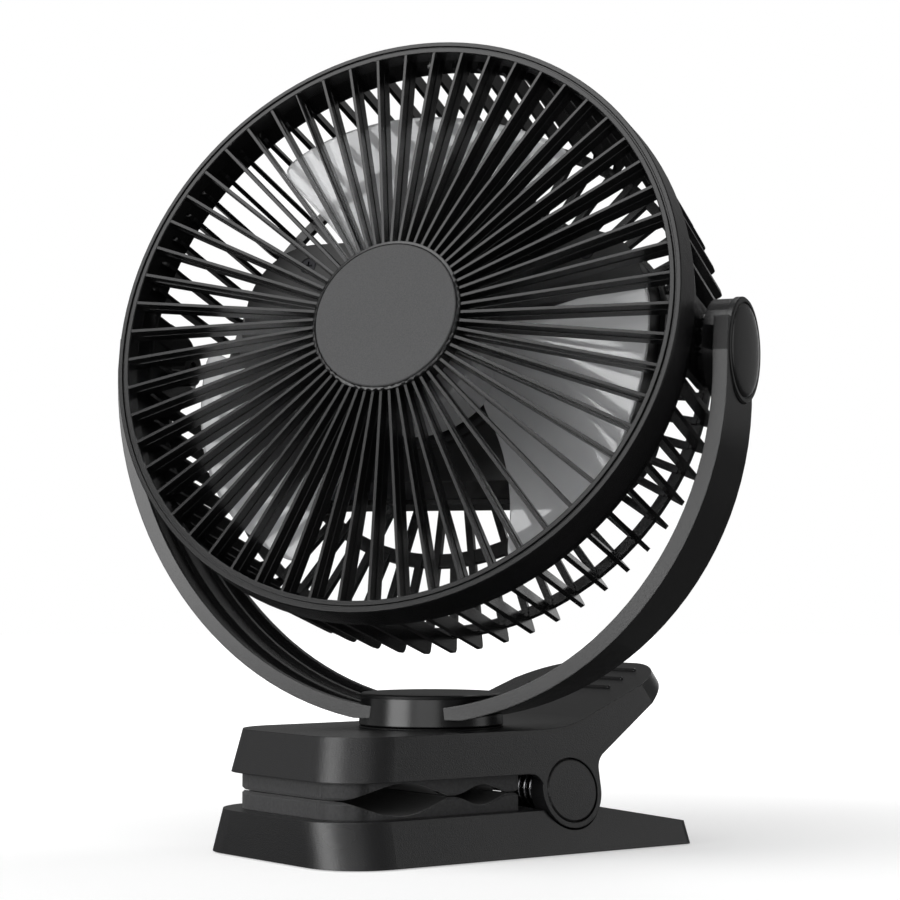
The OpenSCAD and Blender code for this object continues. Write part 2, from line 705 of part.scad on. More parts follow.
module badge() color([0.30, 0.30, 0.30]) in_ring() translate([0, 0, badge_z])
  rotate_extrude() polygon([
    [0, 0], [badge_r, 0], [badge_r, badge_t - 0.3], [badge_r - 0.3, badge_t], [0, badge_t]]);

// ---------------------------------------------------------------- rear grille

fin_root_r = ring_r - band_t + 1.4;
module rear_grille() color(charcoal) in_ring() difference() {
  union() {
    tube(hoop_r, hoop_r - hoop_t, hoop_back, hoop_front - hoop_back - 0.2);
    for (i = [0:fins - 1]) {
      angle = i * 360 / fins + fin_phase;
      if (abs(sin(angle)) < cos(pivot_half_angle)) radial_plate(angle, fin_t, fin_points());
      back_rib(angle, mid_ring_r, outer_ring_r);
    }
    for (i = [0:fins / 2 - 1]) back_rib(i * 720 / fins + fin_phase, case_h / 2 - 4, mid_ring_r + 1);
    tube(outer_ring_r + outer_ring_w / 2, outer_ring_r - outer_ring_w / 2, back_face, back_rib_t);
    tube(mid_ring_r + mid_ring_w / 2, mid_ring_r - mid_ring_w / 2, back_face, back_rib_t);
    // Frame round the battery case
    translate([0, 0, back_face + back_step]) linear_extrude(case_frame_d)
      round_rect(case_h + 2 * frame_wall, case_w + 2 * frame_wall, case_corner + frame_wall);
    for (side = [-1, 1]) pivot_strap(side);
  }
  translate([0, 0, back_face - cut]) linear_extrude(case_frame_d + 2 * cut)
    round_rect(case_h + 0.2, case_w + 0.2, case_corner + 0.1);
  for (side = [-1, 1]) translate([-ring_rise, 0, 0]) at_pivot(side)
    translate([0, 0, boss_out - 16]) cylinder(r = bolt_r + running, h = 40);
}

pivot_half = pivot_boss_r;
pivot_half_angle = asin(pivot_half / hoop_r) + 0.5;
case_frame_d = 7;
frame_wall = 2;
// The back face's ribs, fins and frame lie in front of its rings in small steps
back_step = 0.15;

// Straight rib on the back face, from one radius to another
module back_rib(angle, from, to) {
  z = back_face + 3 * back_step;
  radial_plate(angle, back_rib_w, [[from, z], [to, z], [to, z + back_rib_t], [from, z + back_rib_t]]);
}

// Outline of a fin: its side runs back, then turns in to the outer ring
function fin_points() = let (
  back = back_face + 2 * back_step,
  front = head_front - rib_depth - part_gap
) concat(
  [[hoop_r - fin_w, front], [hoop_r - hoop_t / 2, front], [hoop_r - hoop_t / 2, band_back - 0.2],
   [fin_root_r, band_back - 0.2], [fin_tip_r + 0.1, back + fin_tip_round + 1.5]],
  arc(fin_tip_r - fin_tip_round, back + fin_tip_round, fin_tip_round, 0, -90, 6),
  [[outer_ring_r, back], [outer_ring_r, back + back_rib_t],
   [fin_tip_r - fin_w - 1.5, back + back_rib_t], [fin_tip_r - fin_w, back + back_rib_t + 1.5],
   [hoop_r - fin_w, hoop_back]]);

// Strap from the hoop to behind the tilt axis, with its pivot boss
module pivot_strap(side) {
  intersection() {
    tube(hoop_r, hoop_r - 2.6, -pivot_half - 6, hoop_back + pivot_half + 8);
    translate([-ring_rise, side * hoop_r / 2, 0]) union() {
      translate([-pivot_half, -hoop_r / 2, 0]) cube([2 * pivot_half, hoop_r, hoop_back + 3]);
      rotate([90, 0, 0]) cylinder(r = pivot_half, h = hoop_r + 40, center = true);
    }
  }
  difference() {
    translate([-ring_rise, 0, 0]) at_pivot(side) translate([0, 0, hoop_r - 6])
      cylinder(r = pivot_boss_r, h = boss_out - hoop_r + 6);
    tube(hoop_r - 2.6, 0, -30, 60);
  }
  translate([-ring_rise, 0, 0]) at_pivot(side) translate([0, 0, hoop_r - 8]) cylinder(r = 6, h = 8);
}

// ---------------------------------------------------------------- battery case

screw_u = case_w / 2 - case_corner + 2;
screw_v = case_h / 2 - 8;
module battery_case() color(charcoal) in_ring() difference() {
  union() {
    translate([0, 0, cover_front]) linear_extrude(case_d) difference() {
      round_rect(case_h, case_w, case_corner);
      round_rect(case_h - 2 * case_wall, case_w - 2 * case_wall, case_corner - case_wall);
    }
    translate([0, 0, case_front - case_wall]) linear_extrude(case_wall)
      round_rect(case_h - 1, case_w - 1, case_corner - 0.5);
    // Motor mount
    tube(hub_r + 3, hub_r + 1, case_front - bite, 2 + bite);
    translate([0, 0, case_front - bite]) cylinder(r = 8, h = 2 + bite);
    // Screw posts
    for (i = [-1, 1], j = [-1, 1]) translate([i * screw_v, j * screw_u, cover_front])
      cylinder(r = 3.6, h = case_d - bite);
  }
  for (i = [-1, 1], j = [-1, 1]) translate([i * screw_v, j * screw_u, 0]) {
    translate([0, 0, case_front - 1.2]) cylinder(r = 3, h = 10);
    translate([0, 0, cover_front - cut]) cylinder(r = 1.2, h = case_d + 10);
  }
  translate([0, 0, case_front - 10]) cylinder(r = shaft_r + 3, h = 20);
}

button_r = 8;
button_travel = 1.2;
port_w = 9.4;
port_h = 3.6;
port_u = -30;
module rear_cover() color(charcoal) in_ring() difference() {
  union() {
    translate([0, 0, cover_front - cover_t]) linear_extrude(cover_t) round_rect(case_h, case_w, case_corner);
    // Locating lip inside the case
    translate([0, 0, cover_front - bite]) linear_extrude(1.6 + bite) difference() {
      round_rect(case_h - 2 * case_wall - 0.3, case_w - 2 * case_wall - 0.3, case_corner - case_wall - 0.15);
      round_rect(case_h - 2 * case_wall - 2.8, case_w - 2 * case_wall - 2.8, case_corner - case_wall - 1.4);
      for (i = [-1, 1], j = [-1, 1]) translate([i * screw_v, j * screw_u]) circle(4.2);
    }
    // Raised rim round the button
    translate([0, 0, cover_front - cover_t - 0.8]) cylinder(r = button_r + 3, h = 1);
  }
  translate([0, 0, cover_front - 10]) cylinder(r = button_r + running, h = 20);
  translate([0, port_u, cover_front - 10]) linear_extrude(20) round_rect(port_h, port_w, port_h / 2 - 0.01);
  for (k = [0:3]) translate([16, (k - 1.5) * 6, cover_front - 10]) cylinder(r = 1.2, h = 20);
  for (i = [-1, 1], j = [-1, 1]) translate([i * screw_v, j * screw_u, 0]) {
    translate([0, 0, cover_front - 10]) cylinder(r = 1.3, h = 20);
    translate([0, 0, cover_front - cover_t - cut]) cylinder(r = 2.9, h = cut + 1.4);
  }
}

module screw_row(z, dir) for (i = [-1, 1], j = [-1, 1])
  translate([i * screw_v, j * screw_u, z]) scale([1, 1, dir]) difference() {
    union() {
      cylinder(r = 2.7, h = 1.1);
      translate([0, 0, -6]) cylinder(r = 1.2, h = 6 + bite);
    }
    translate([0, 0, 0.4]) for (a = [0, 90]) rotate([0, 0, a])
      translate([-1.5, -0.3, 0]) cube([3, 0.6, 2]);
  }
module case_screws() color(steel) in_ring() screw_row(case_front - 1.2, 1);
module cover_screws() color(steel) in_ring() screw_row(cover_front - cover_t + 1.4, -1);

cell_v = case_h / 2 - case_wall - cell_r - 12;
cell_z = case_front - case_wall - cell_r - 0.2;
// Length of one battery cell
cell_len = case_w / 2 - case_wall - 7;
module cell(i) color([0.15, 0.35, 0.55]) in_ring()
  translate([(i < 2 ? 1 : -1) * cell_v, (i % 2 == 0 ? 1 : -1) * (cell_len / 2 + 1.5), cell_z])
    rotate([90, 0, 0]) union() {
      cylinder(r = cell_r, h = cell_len - 1, center = true);
      translate([0, 0, cell_len / 2 - 0.7]) cylinder(r = 3, h = 0.7);
    }
module cell_1() cell(0);
module cell_2() cell(1);
module cell_3() cell(2);
module cell_4() cell(3);

board_t = 1.6;
board_z = cover_front + 4;
board_w = 2 * (cell_v - cell_r - 1.2);
module control_board() color([0.05, 0.30, 0.18]) in_ring() union() {
  translate([0, -port_w / 2, board_z + board_t / 2]) cube([board_w, 1.17 * cell_len, board_t], center = true);
  for (k = [0:4]) translate([5, 10 + 5 * k, board_z + board_t - bite]) cube([3, 2, 1 + bite]);
}
module button_switch() color([0.7, 0.7, 0.7]) in_ring() union() {
  translate([0, 0, board_z - 1.5]) cube([6, 6, 3], center = true);
  translate([0, 0, board_z - 3.2]) cylinder(r = 1.7, h = 1);
}
module charge_port() color(steel) in_ring() difference() {
  translate([0, port_u, cover_front - cover_t + 0.4]) linear_extrude(board_z - cover_front + cover_t - 0.4)
    round_rect(port_h - 0.2, port_w - 0.2, port_h / 2 - 0.12);
  translate([0, port_u, cover_front - cover_t]) linear_extrude(5)
    round_rect(port_h - 1, port_w - 1, port_h / 2 - 0.6);
}
module light_pipes() color([0.8, 0.85, 0.9, 0.7]) in_ring() for (k = [0:3])
  translate([16, (k - 1.5) * 6, cover_front - cover_t]) cylinder(r = 1.2, h = cover_t + 1);

module speed_button() color([0.2, 0.2, 0.2]) in_ring() translate([0, 0, cover_front - cover_t - 2])
  rotate_extrude() polygon([[0, 0.4], [button_r - 2.4, 0], [button_r - 0.6, 0.2], [button_r, 0.8],
    [button_r, cover_t + 2.2 - button_travel], [0, cover_t + 2.2 - button_travel]]);

// ---------------------------------------------------------------- motor and impeller

stator_r = rotor_r - 3.4 - air_gap;
tooth_w = 2;
stack_h = 0.4 * rotor_d;
module motor_stator() color([0.5, 0.5, 0.52]) in_ring() difference() {
  union() {
    tube(5, bearing_r, motor_base, rotor_d - 3);
    translate([0, 0, motor_base + 3]) linear_extrude(stack_h) difference() {
      union() {
        circle(7);
        for (k = [0:8]) rotate([0, 0, 40 * k]) {
          translate([0, -tooth_w / 2]) square([stator_r - 0.6, tooth_w]);
          intersection() {
            difference() { circle(stator_r); circle(stator_r - 1.4); }
            polygon([[0, 0], [40, -10.5], [40, 10.5]]);
          }
        }
      }
      circle(4.9);
    }
  }
}
// A coil round each tooth
winding_in = 0.58 * stator_r;
winding_out = 0.81 * stator_r;
module motor_windings() color([0.72, 0.40, 0.20]) in_ring() for (k = [0:8]) rotate([0, 0, 40 * k])
  translate([winding_in, 0, motor_base + 3]) difference() {
    translate([0, -tooth_w, -tooth_w / 2]) cube([winding_out - winding_in, 2 * tooth_w, stack_h + tooth_w]);
    translate([-cut, -tooth_w / 2, 0]) cube([stator_r, tooth_w, stack_h]);
  }

bearing_r = 4;
bearing_t = 2.4;
module bearing(z) color(steel) in_ring() tube(bearing_r, shaft_r + running, z, bearing_t);
module bearing_back() bearing(motor_base);
module bearing_front() bearing(motor_base + rotor_d - 3 - bearing_t);

module rotor_cup() color([0.45, 0.45, 0.47]) in_ring() union() {
  tube(rotor_r, rotor_r - 1.2, motor_base + 1, rotor_d - 1);
  translate([0, 0, motor_base + rotor_d - 1.2]) difference() {
    cylinder(r = rotor_r, h = 1.2);
    translate([0, 0, -cut]) cylinder(r = shaft_r, h = 5);
  }
}
module rotor_magnet() color([0.2, 0.2, 0.22]) in_ring()
  tube(rotor_r - 1.2, stator_r + air_gap, motor_base + 2, 8);
module motor_shaft() color(steel) in_ring() translate([0, 0, motor_base - 1])
  cylinder(r = shaft_r, h = hub_front + 4.5 - motor_base + 1);
module impeller_nut() color(graphite) in_ring() difference() {
  translate([0, 0, hub_front]) cylinder(r = 6, h = 4, $fn = 6);
  translate([0, 0, hub_front - cut]) cylinder(r = shaft_r, h = 10);
}

// Height of a blade's middle surface: high at its leading end, low at its trailing end
function blade_z(t, r) = blade_back + blade_reach * (0.5 + 0.5 * cos(180 * t)) * (0.72 + 0.28 * r / blade_r);
// Angle of a blade's point: t runs along the sweep; the root is narrower and leads
function blade_angle(t, s) = -blade_sweep * (0.62 + 0.38 * s) * (t - 0.5) + 10 * (1 - s);
// Radius at s from root to tip, with round corners at both ends
function blade_rad(t, s) = hub_r - 1 + s * (blade_r - hub_r + 1) * (1 - 0.13 * pow(abs(2 * t - 1), 5));

module blade() {
  nt = 16;
  ns = 7;
  top = [for (j = [0:ns], i = [0:nt])
    let (t = i / nt, s = j / ns, r = blade_rad(t, s), a = blade_angle(t, s))
      [r * cos(a), r * sin(a), blade_z(t, r) + blade_t / 2]];
  low = [for (p = top) [p[0], p[1], p[2] - blade_t]];
  n = (nt + 1) * (ns + 1);
  w = nt + 1;
  faces = concat(
    [for (j = [0:ns - 1], i = [0:nt - 1]) let (k = j * w + i)
      each [[k, k + 1, k + w + 1], [k, k + w + 1, k + w]]],
    [for (j = [0:ns - 1], i = [0:nt - 1]) let (k = n + j * w + i)
      each [[k, k + w + 1, k + 1], [k, k + w, k + w + 1]]],
    [for (i = [0:nt - 1]) each [[i, n + i, n + i + 1], [i, n + i + 1, i + 1],
      [ns * w + i, ns * w + i + 1, n + ns * w + i + 1], [ns * w + i, n + ns * w + i + 1, n + ns * w + i]]],
    [for (j = [0:ns - 1]) each [[j * w, j * w + w, n + j * w + w], [j * w, n + j * w + w, n + j * w],
      [j * w + nt, n + j * w + nt, n + j * w + w + nt], [j * w + nt, n + j * w + w + nt, j * w + w + nt]]]);
  polyhedron(concat(top, low), [for (f = faces) [f[2], f[1], f[0]]], convexity = 6);
}

module impeller() color([0.85, 0.87, 0.9, 0.5]) in_ring() difference() {
  union() {
    for (k = [0:blades - 1]) rotate([0, 0, k * 360 / blades + 4]) blade();
    // Hub: a cup with an inner sleeve over the rotor, joined by ribs
    tube(hub_r, hub_r - 1.8, hub_front - hub_d, hub_d - 1);
    translate([0, 0, hub_front - 2]) cylinder(r = hub_r - 1, h = 2);
    tube(rotor_r + 1.8, rotor_r, hub_front - 2 - rotor_d + 4, rotor_d - 4 + bite);
    for (k = [0:11]) rotate([0, 0, 30 * k]) translate([rotor_r + 1, -0.6, hub_front - 8])
      cube([hub_r - rotor_r - 2, 1.2, 7]);
  }
  translate([0, 0, hub_front - 10]) cylinder(r = shaft_r, h = 20);
}

lower_jaw();
foot_pad();
lower_grip();
hinge_pin();
clip_spring_left();
clip_spring_right();
upper_jaw();
jaw_plate();
upper_grip();
swivel_seat();
pin_cap_left();
pin_cap_right();
yoke();
turntable_cap();
swivel_screw();
swivel_washer();
knob_left();
knob_right();
tilt_bolt_left();
tilt_bolt_right();
friction_washer_left();
friction_washer_right();
front_grille();
badge();
rear_grille();
battery_case();
rear_cover();
case_screws();
cover_screws();
cell_1();
cell_2();
cell_3();
cell_4();
control_board();
button_switch();
charge_port();
light_pipes();
motor_stator();
motor_windings();
bearing_front();
bearing_back();
impeller();
rotor_cup();
rotor_magnet();
motor_shaft();
impeller_nut();
speed_button();
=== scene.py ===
# %% [markdown]
# # A clip-on camping fan, dressed in Blender
# The fan is a round head with a clear impeller behind a radial grille, held by
# a wide arch that turns on a spring clip. Its hard parts were built in a CAD
# program, so their sizes are settled. This lesson loads them as a fixed frame,
# gives every part the finish of the real moulding, and models again the two
# parts that the CAD form can only hint at: the glossy, swept impeller and the
# wall of the turntable.

# %% Load the frame
import bpy, json, math
from mathutils import Matrix, Vector


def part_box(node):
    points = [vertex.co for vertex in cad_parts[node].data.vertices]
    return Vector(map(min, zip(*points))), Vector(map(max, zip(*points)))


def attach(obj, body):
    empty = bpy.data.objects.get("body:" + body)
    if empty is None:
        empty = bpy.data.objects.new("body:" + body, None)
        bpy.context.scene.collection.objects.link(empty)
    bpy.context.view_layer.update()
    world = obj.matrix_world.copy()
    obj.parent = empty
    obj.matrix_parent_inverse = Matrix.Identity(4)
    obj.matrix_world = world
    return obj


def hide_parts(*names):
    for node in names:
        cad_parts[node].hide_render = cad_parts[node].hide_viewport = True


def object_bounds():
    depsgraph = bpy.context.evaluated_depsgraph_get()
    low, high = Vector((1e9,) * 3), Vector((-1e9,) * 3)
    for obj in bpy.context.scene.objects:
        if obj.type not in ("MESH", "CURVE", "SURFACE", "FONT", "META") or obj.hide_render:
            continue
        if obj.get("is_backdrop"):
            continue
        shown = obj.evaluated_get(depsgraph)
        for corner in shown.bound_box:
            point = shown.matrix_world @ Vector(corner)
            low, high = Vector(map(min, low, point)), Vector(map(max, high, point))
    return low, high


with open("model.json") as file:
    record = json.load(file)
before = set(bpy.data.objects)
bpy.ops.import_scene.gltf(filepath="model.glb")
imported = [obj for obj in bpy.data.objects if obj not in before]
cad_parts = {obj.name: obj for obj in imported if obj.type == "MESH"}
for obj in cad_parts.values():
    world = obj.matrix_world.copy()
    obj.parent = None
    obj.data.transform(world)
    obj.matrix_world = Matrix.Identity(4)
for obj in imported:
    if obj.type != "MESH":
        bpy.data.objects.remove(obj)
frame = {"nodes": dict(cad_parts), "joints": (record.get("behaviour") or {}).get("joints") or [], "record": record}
cad_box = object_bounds()
nodes = frame["nodes"]
print("parts:", len(nodes), "size in mm:", [round(1000 * s) for s in cad_box[1] - cad_box[0]])

# %% [markdown]
# ## Camera
# The fan is seen from a low height and slightly from its side, so the arch
# reads as a curve and the clip shows its long flank. A long lens keeps the
# ring almost round. The camera could be aimed with a Track To constraint, but
# a plain location and turn are easier to read and to change.

# %% Camera
camera = bpy.data.objects.new("camera", bpy.data.cameras.new("camera"))
bpy.context.scene.collection.objects.link(camera)
camera.data.sensor_width = 36
camera.data.lens = 101.478
camera.location = (-0.51011, -0.69180, 0.09521)
camera.rotation_euler = (math.radians(92.59), 0, math.radians(-36.83))
bpy.context.scene.camera = camera
bpy.context.scene.view_settings.view_transform = "Standard"
print("camera", tuple(round(v, 3) for v in camera.location))

# %% [markdown]
# ## Floor and light
# A product stands on a pale sweep that ends in white. The floor is a plain
# disc whose own light only shows to the camera, so the fan's soft shadow stays
# on it. A dome of even light gives each colour its own value, a wide sun draws
# the shadow, and soft boxes all round put the long highlights on the arch and
# on the corners of the clip, with dark gaps between them.

# %% Helpers for node materials
def new_material(name):
    """A fresh material with its node tree and its Principled shader."""
    material = bpy.data.materials.new(name)
    material.use_nodes = True
    tree = material.node_tree
    return material, tree, tree.nodes["Principled BSDF"]

def set_range(node, reads=(0, 1), gives=(0, 1)):
    """Sets the values that a Map Range node reads and those that it gives."""
    node.inputs["From Min"].default_value, node.inputs["From Max"].default_value = reads
    node.inputs["To Min"].default_value, node.inputs["To Max"].default_value = gives

def deselect_all():
    if bpy.context.object and bpy.context.object.mode != "OBJECT":
        bpy.ops.object.mode_set(mode="OBJECT")
    bpy.ops.object.select_all(action="DESELECT")

# %% Floor disc
floor_r = 2.6
deselect_all()
bpy.ops.mesh.primitive_circle_add(
    vertices=96, radius=floor_r, fill_type="NGON", location=(0, 0, 0))
floor = bpy.context.object
floor.name = "floor"
floor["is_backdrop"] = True
print("floor radius", floor_r)

# %% Floor material
pale_floor, tree, shader = new_material("pale floor")
shader.inputs["Roughness"].default_value = 0.9
shader.inputs["Specular IOR Level"].default_value = 0.1
glow = tree.nodes.new("ShaderNodeEmission")
seen = tree.nodes.new("ShaderNodeLightPath")
share = tree.nodes.new("ShaderNodeMath")
share.operation = "MULTIPLY"
both = tree.nodes.new("ShaderNodeAddShader")
# Near the fan the floor glows less, so the shadow shows; far away it ends in white
spot = tree.nodes.new("ShaderNodeTexCoord")
away = tree.nodes.new("ShaderNodeVectorMath")
away.operation = "LENGTH"
fade = tree.nodes.new("ShaderNodeMapRange")
fade.interpolation_type = "SMOOTHSTEP"
set_range(fade, reads=(0.14, 0.6), gives=(0.45, 0.97))
tree.links.new(spot.outputs["Object"], away.inputs[0])
tree.links.new(away.outputs["Value"], fade.inputs["Value"])
tree.links.new(fade.outputs["Result"], share.inputs[1])
tree.links.new(seen.outputs["Is Camera Ray"], share.inputs[0])
# A grey sweep would show in every glossy underside, so gloss sees it darker
tone = tree.nodes.new("ShaderNodeMix")
tone.data_type = "RGBA"
tone.inputs["A"].default_value = (0.62, 0.62, 0.62, 1)
tone.inputs["B"].default_value = (0.04, 0.04, 0.04, 1)
tree.links.new(seen.outputs["Is Glossy Ray"], tone.inputs["Factor"])
tree.links.new(tone.outputs["Result"], shader.inputs["Base Color"])
tree.links.new(share.outputs[0], glow.inputs["Strength"])
tree.links.new(shader.outputs[0], both.inputs[0])
tree.links.new(glow.outputs[0], both.inputs[1])
tree.links.new(both.outputs[0], tree.nodes["Material Output"].inputs["Surface"])
floor.data.materials.append(pale_floor)
print("floor material ready")

# %% World: even light, and white where the camera or clear plastic looks past the fan
world = bpy.data.worlds.new("studio")
bpy.context.scene.world = world
world.use_nodes = True
sky = world.node_tree
sky.nodes.clear()
dome = sky.nodes.new("ShaderNodeBackground")
dome.inputs["Color"].default_value = (1, 1, 1, 1)
dome.inputs["Strength"].default_value = 0.17
white = sky.nodes.new("ShaderNodeBackground")
white.inputs["Color"].default_value = (1, 1, 1, 1)
white.inputs["Strength"].default_value = 1.0
path = sky.nodes.new("ShaderNodeLightPath")
either = sky.nodes.new("ShaderNodeMath")
either.operation = "MAXIMUM"
mix = sky.nodes.new("ShaderNodeMixShader")
world_out = sky.nodes.new("ShaderNodeOutputWorld")
sky.links.new(path.outputs["Is Camera Ray"], either.inputs[0])
sky.links.new(path.outputs["Is Transmission Ray"], either.inputs[1])
sky.links.new(either.outputs[0], mix.inputs["Fac"])
sky.links.new(dome.outputs[0], mix.inputs[1])
sky.links.new(white.outputs[0], mix.inputs[2])
sky.links.new(mix.outputs[0], world_out.inputs["Surface"])
print("world ready")

# %% Lamps
def lamp(name, kind, place, power, size):
    """A lamp at place that looks at the middle of the fan."""
    data = bpy.data.lights.new(name, kind)
    data.energy = power
    obj = bpy.data.objects.new(name, data)
    bpy.context.scene.collection.objects.link(obj)
    obj.location = place
    obj.rotation_euler = (middle - Vector(place)).to_track_quat("-Z", "Y").to_euler()
    if kind == "SUN":
        data.angle = math.radians(size)
    else:
        data.shape = "RECTANGLE"
        data.size, data.size_y = size

middle = Vector((0, 0, 0.14))
lamp("soft sun", "SUN", (-0.5, -0.1, 1.6), 1.2, 45)
lamp("low left box", "AREA", (-1.22, 0.00, 0.25), 8.4, (0.8, 0.6))
lamp("left back box", "AREA", (-0.80, 0.96, 0.30), 0.4, (0.8, 0.6))
lamp("front box", "AREA", (-0.95, -0.98, 0.30), 3.2, (1.0, 0.6))
lamp("high left box", "AREA", (-1.00, 0.06, 1.12), 4.5, (0.8, 0.65))
lamp("right fill box", "AREA", (0.98, -0.84, 0.30), 1.6, (0.5, 0.9))
lamp("low back box", "AREA", (1.06, 0.66, 0.20), 0.4, (0.45, 0.4))
lamp("high back box", "AREA", (0.75, 0.35, 1.15), 3.0, (0.5, 0.5))

# %% [markdown]
# ## Moulded plastic
# The clip, the arch and the grilles are charcoal mouldings. Their skin is
# spark-eroded: a very fine pebble that breaks up each highlight. An image
# could carry such a grain, but noise on the object's own coordinates needs no
# unwrapping and keeps one scale on every part. The grain is a node group, so
# each material places it with its own values. A second group finds edges by comparing the true normal with a
# rounded one. Its rounded normal softens the edges in the shading, and its edge mask lightens the colour along the
# edges as a painted highlight.

# %% Grain group: its sockets
def group_socket(tree, name, kind, direction, value=None):
    made = tree.interface.new_socket(name=name, in_out=direction, socket_type=kind)
    if value is not None:
        made.default_value = value

grain_group = bpy.data.node_groups.new("moulded grain", "ShaderNodeTree")
group_socket(grain_group, "Tint", "NodeSocketColor", "INPUT", (0.05, 0.05, 0.05, 1))
group_socket(grain_group, "Roughness", "NodeSocketFloat", "INPUT", 0.5)
group_socket(grain_group, "Scale", "NodeSocketFloat", "INPUT", 1800)
group_socket(grain_group, "Colour", "NodeSocketColor", "OUTPUT")
group_socket(grain_group, "Roughness", "NodeSocketFloat", "OUTPUT")
group_socket(grain_group, "Height", "NodeSocketFloat", "OUTPUT")
print("sockets:", len(grain_group.interface.items_tree))

# %% Grain group: a fine pebble and a faint flow
g = grain_group.nodes
link = grain_group.links.new
inside, outside = g.new("NodeGroupInput"), g.new("NodeGroupOutput")
where = g.new("ShaderNodeTexCoord")
pebble = g.new("ShaderNodeTexNoise")
pebble.inputs["Detail"].default_value = 3
pebble.inputs["Roughness"].default_value = 0.6
link(where.outputs["Object"], pebble.inputs["Vector"])
link(inside.outputs["Scale"], pebble.inputs["Scale"])
cloud = g.new("ShaderNodeTexNoise")
cloud.inputs["Scale"].default_value = 22
cloud.inputs["Detail"].default_value = 2
link(where.outputs["Object"], cloud.inputs["Vector"])
# Tone: the pebble's pits are darker, and the cloud is the moulding's faint flow
pits = g.new("ShaderNodeMapRange")
set_range(pits, reads=(0.3, 0.7), gives=(0.82, 1.18))
link(pebble.outputs["Fac"], pits.inputs["Value"])
flow = g.new("ShaderNodeMapRange")
set_range(flow, reads=(0.3, 0.7), gives=(0.94, 1.06))
link(cloud.outputs["Fac"], flow.inputs["Value"])
product = g.new("ShaderNodeMath")
product.operation = "MULTIPLY"
link(pits.outputs["Result"], product.inputs[0])
link(flow.outputs["Result"], product.inputs[1])
tinted = g.new("ShaderNodeVectorMath")
tinted.operation = "SCALE"
link(inside.outputs["Tint"], tinted.inputs[0])
link(product.outputs[0], tinted.inputs["Scale"])
link(tinted.outputs[0], outside.inputs["Colour"])
rough = g.new("ShaderNodeMath")
rough.operation = "MULTIPLY"
link(inside.outputs["Roughness"], rough.inputs[0])
link(flow.outputs["Result"], rough.inputs[1])
link(rough.outputs[0], outside.inputs["Roughness"])
link(pebble.outputs["Fac"], outside.inputs["Height"])
print("group:", grain_group.name)

# %% Edge group: a rounded normal, and an edge mask for the painted highlight
edge_group = bpy.data.node_groups.new("edge mask for painted highlight", "ShaderNodeTree")
group_socket(edge_group, "Radius", "NodeSocketFloat", "INPUT", 0.0004)
group_socket(edge_group, "Normal", "NodeSocketVector", "OUTPUT")
group_socket(edge_group, "Edge", "NodeSocketFloat", "OUTPUT")
g = edge_group.nodes
link = edge_group.links.new
inside, outside = g.new("NodeGroupInput"), g.new("NodeGroupOutput")
rounded = g.new("ShaderNodeBevel")
rounded.samples = 4
link(inside.outputs["Radius"], rounded.inputs["Radius"])
true_normal = g.new("ShaderNodeNewGeometry")
agree = g.new("ShaderNodeVectorMath")
agree.operation = "DOT_PRODUCT"
link(rounded.outputs["Normal"], agree.inputs[0])
link(true_normal.outputs["Normal"], agree.inputs[1])
edge = g.new("ShaderNodeMapRange")
set_range(edge, reads=(0.99, 0.80))
link(agree.outputs["Value"], edge.inputs["Value"])
link(rounded.outputs["Normal"], outside.inputs["Normal"])
link(edge.outputs["Result"], outside.inputs["Edge"])
print("group:", edge_group.name)

# %% Moulded plastic as one recipe
pit_depth = 0.00012

def moulded(name, tint, roughness, grain, scale,
            edge_radius=0.0004, edge_highlight_gain=0.35, coat=0.0, specular=0.5):
    """Moulded plastic: tint, grain depth and scale, and how much its edges are lightened as a painted highlight.
    """
    material, tree, shader = new_material(name)
    new, join = tree.nodes.new, tree.links.new
    skin = new("ShaderNodeGroup")
    skin.node_tree = grain_group
    skin.inputs["Tint"].default_value = (*tint, 1)
    skin.inputs["Roughness"].default_value = roughness
    skin.inputs["Scale"].default_value = scale
    rim = new("ShaderNodeGroup")
    rim.node_tree = edge_group
    rim.inputs["Radius"].default_value = edge_radius
    # The edge mask lightens the base colour along the edges: a painted highlight
    lift = new("ShaderNodeMath")
    lift.operation = "MULTIPLY_ADD"
    lift.inputs[1].default_value, lift.inputs[2].default_value = edge_highlight_gain, 1.0
    join(rim.outputs["Edge"], lift.inputs[0])
    colour = new("ShaderNodeVectorMath")
    colour.operation = "SCALE"
    join(skin.outputs["Colour"], colour.inputs[0])
    join(lift.outputs[0], colour.inputs["Scale"])
    join(colour.outputs[0], shader.inputs["Base Color"])
    join(skin.outputs["Roughness"], shader.inputs["Roughness"])
    bump = new("ShaderNodeBump")
    bump.inputs["Strength"].default_value = grain
    bump.inputs["Distance"].default_value = pit_depth
    join(skin.outputs["Height"], bump.inputs["Height"])
    join(rim.outputs["Normal"], bump.inputs["Normal"])
    join(bump.outputs[0], shader.inputs["Normal"])
    shader.inputs["Coat Weight"].default_value = coat
    shader.inputs["Specular IOR Level"].default_value = specular
    return material

print("recipe ready, pits up to", pit_depth * 1000, "mm deep")

# %% The fan's own plastics
clip_plastic = moulded("clip plastic", (0.0105, 0.0105, 0.011), 0.29, 0.7, 2400)
yoke_plastic = moulded("yoke plastic", (0.006, 0.006, 0.0063), 0.26, 0.15, 1900)
grille_plastic = moulded("grille plastic", (0.005, 0.005, 0.0053), 0.25, 0.1, 2400,
                         edge_radius=0.00025)
case_plastic = moulded("case plastic", (0.007, 0.007, 0.0073), 0.32, 0.25, 1500)
knob_plastic = moulded("knob plastic", (0.006, 0.006, 0.0063), 0.27, 0.12, 2200)
seat_plastic = moulded("seat plastic", (0.004, 0.004, 0.0042), 0.45, 0.3, 1700, specular=0.3)
badge_plastic = moulded("badge plastic", (0.068, 0.068, 0.069), 0.6, 0.25, 2600,
                        edge_highlight_gain=0.1, specular=0.2)
button_plastic = moulded("button plastic", (0.045, 0.045, 0.048), 0.28, 0.08, 2400)
nut_plastic = moulded("nut plastic", (0.05, 0.05, 0.053), 0.35, 0.1, 2400)
